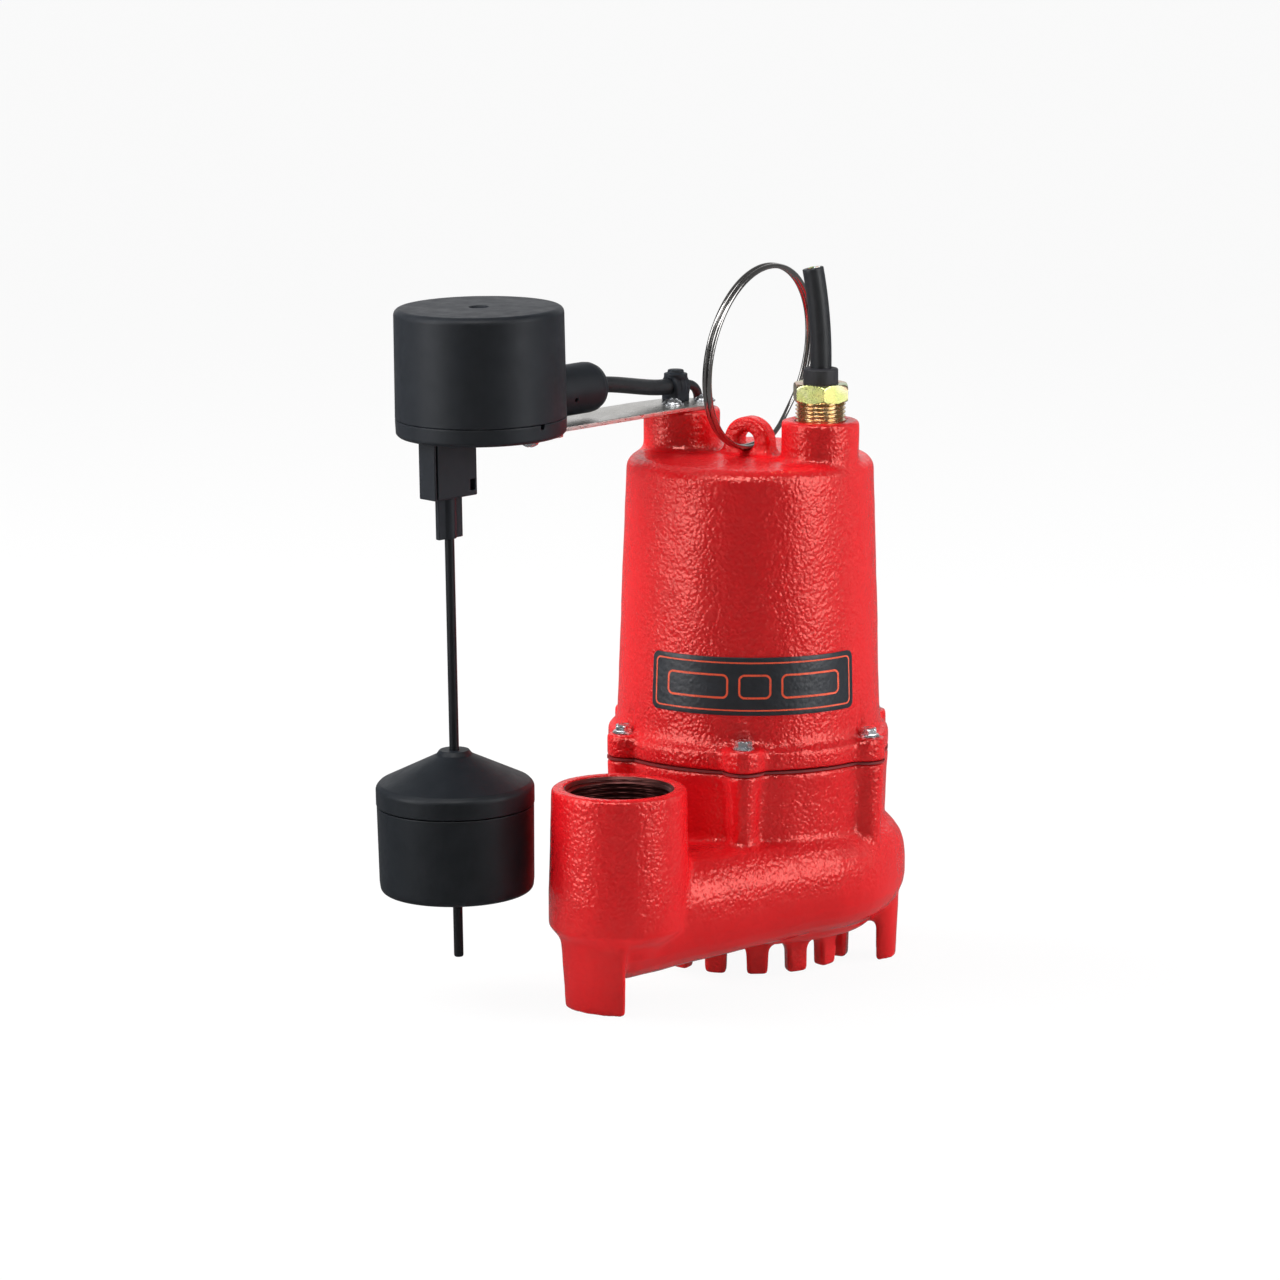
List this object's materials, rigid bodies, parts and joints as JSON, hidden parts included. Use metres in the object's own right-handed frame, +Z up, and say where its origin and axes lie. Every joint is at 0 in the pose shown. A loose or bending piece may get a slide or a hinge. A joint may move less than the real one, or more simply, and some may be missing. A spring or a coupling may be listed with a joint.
{
  "type": "submersible sump pump",
  "caption": "Cast submersible sump pump with a side volute, tapped vertical discharge, strainer legs, lifting ring and a float switch whose float rides up a vertical rod.",
  "frame": {"origin": "centre of the tapped discharge hole, in the plane of its mouth; the floor under the feet is at Z = -98.5 mm and the motor shaft stands at Y = +108 mm", "axes": "+Z up, along the discharge thread and the motor shaft; +Y from the discharge to the motor shaft; +X towards the power cord boss"},
  "size_m": [0.1776, 0.2419, 0.3219],
  "materials": {
    "red_paint": "gloss enamel with a hammered texture over cast iron",
    "gasket_rubber": "black sheet rubber",
    "zinc_screw": "bright zinc plated",
    "badge_black": "printed black label with a thin orange border line",
    "cast_grey": "machined grey iron",
    "lamination": "stacked electrical steel",
    "copper_wire": "varnished copper",
    "protector_shell": "moulded",
    "wire_insulation": "coloured insulation",
    "cast_aluminium": "die cast",
    "ground_steel": "ground",
    "bearing_steel": "polished",
    "cage_brass": "pressed",
    "seal_ceramic": "lapped",
    "seal_carbon": "carbon ring in a rubber bellows",
    "spring_steel": "stainless wire",
    "impeller_bronze": "cast",
    "nut_steel": "stainless",
    "connector_brass": "turned and threaded",
    "chromate_nut": "yellow chromate plated steel",
    "cord_rubber": "smooth black jacket",
    "bracket_steel": "stainless sheet",
    "switch_plastic": "satin moulded",
    "float_plastic": "satin blow moulded",
    "button_red": "moulded"
  },
  "bodies": {
    "pump": {"motor_housing": "red_paint", "volute_casing": "red_paint", "flange_gasket": "gasket_rubber", "flange_screws": "zinc_screw", "nameplate": "badge_black", "seal_plate": "cast_grey", "stator_core": "lamination", "stator_windings": "copper_wire", "thermal_protector": "protector_shell", "lead_wires": "wire_insulation", "upper_bearing_outer_race": "bearing_steel", "lower_bearing_outer_race": "bearing_steel", "seal_seat": "seal_ceramic", "cord_connector": "connector_brass", "gland_nut": "chromate_nut", "cord_grommet": "cord_rubber", "power_cord": "cord_rubber", "switch_bracket": "bracket_steel", "bracket_screws": "zinc_screw", "cable_clip": "switch_plastic", "switch_cap": "switch_plastic", "switch_base": "switch_plastic", "switch_mount_screws": "zinc_screw", "switch_gland": "switch_plastic", "switch_cable": "cord_rubber", "snap_switch": "protector_shell", "lever_pin": "ground_steel", "rod_guide": "switch_plastic"},
    "rotor": {"motor_shaft": "ground_steel", "rotor_core": "lamination", "rotor_end_rings": "cast_aluminium", "upper_bearing_inner_race": "bearing_steel", "lower_bearing_inner_race": "bearing_steel", "seal_head": "seal_carbon", "seal_spring": "spring_steel", "impeller": "impeller_bronze", "impeller_nut": "nut_steel"},
    "upper_balls": {"upper_bearing_balls": "bearing_steel", "upper_bearing_cage": "cage_brass"},
    "lower_balls": {"lower_bearing_balls": "bearing_steel", "lower_bearing_cage": "cage_brass"},
    "ring": {"lifting_ring": "spring_steel"},
    "rod": {"plunger": "switch_plastic", "float_rod": "switch_plastic", "rod_stop": "switch_plastic"},
    "float": {"float_upper_shell": "float_plastic", "float_lower_shell": "float_plastic"},
    "lever": {"switch_lever": "ground_steel"},
    "button": {"snap_switch_button": "button_red"}
  },
  "joints": [
    {"name": "rotor_spin", "type": "hinge", "parent": "pump", "child": "rotor", "pos_m": [0, 0.108, 0], "axis": [0, 0, 1], "continuous": true},
    {"name": "upper_balls_orbit", "type": "hinge", "parent": "pump", "child": "upper_balls", "pos_m": [0, 0.108, 0.113], "axis": [0, 0, 1], "continuous": true},
    {"name": "lower_balls_orbit", "type": "hinge", "parent": "pump", "child": "lower_balls", "pos_m": [0, 0.108, -0.0125], "axis": [0, 0, 1], "continuous": true},
    {"name": "ring_swing", "type": "hinge", "parent": "pump", "child": "ring", "pos_m": [0, 0.108, 0.1415], "axis": [0, 1, 0], "range_deg": [-55, 9]},
    {"name": "rod_lift", "type": "slide", "parent": "pump", "child": "rod", "axis": [-0.0057, -0.0238, 0.9997], "range_m": [0, 0.008]},
    {"name": "float_travel", "type": "slide", "parent": "rod", "child": "float", "axis": [-0.0057, -0.0238, 0.9997], "range_m": [0, 0.095]},
    {"name": "lever_swing", "type": "hinge", "parent": "pump", "child": "lever", "pos_m": [-0.06515, -0.00925, 0.1603], "axis": [-0.9724, 0.2334, 0], "range_deg": [0, 20.5]},
    {"name": "button_press", "type": "slide", "parent": "pump", "child": "button", "axis": [-0.0057, -0.0238, 0.9997], "range_m": [0, 0.0017]}
  ],
  "couplings": [
    {"joint": "upper_balls_orbit", "follows": "rotor_spin", "ratio": 0.3824},
    {"joint": "lower_balls_orbit", "follows": "rotor_spin", "ratio": 0.3824},
    {"joint": "lever_swing", "follows": "rod_lift", "rad_per_m": 44.4},
    {"joint": "button_press", "follows": "rod_lift", "ratio": 0.2}
  ]
}
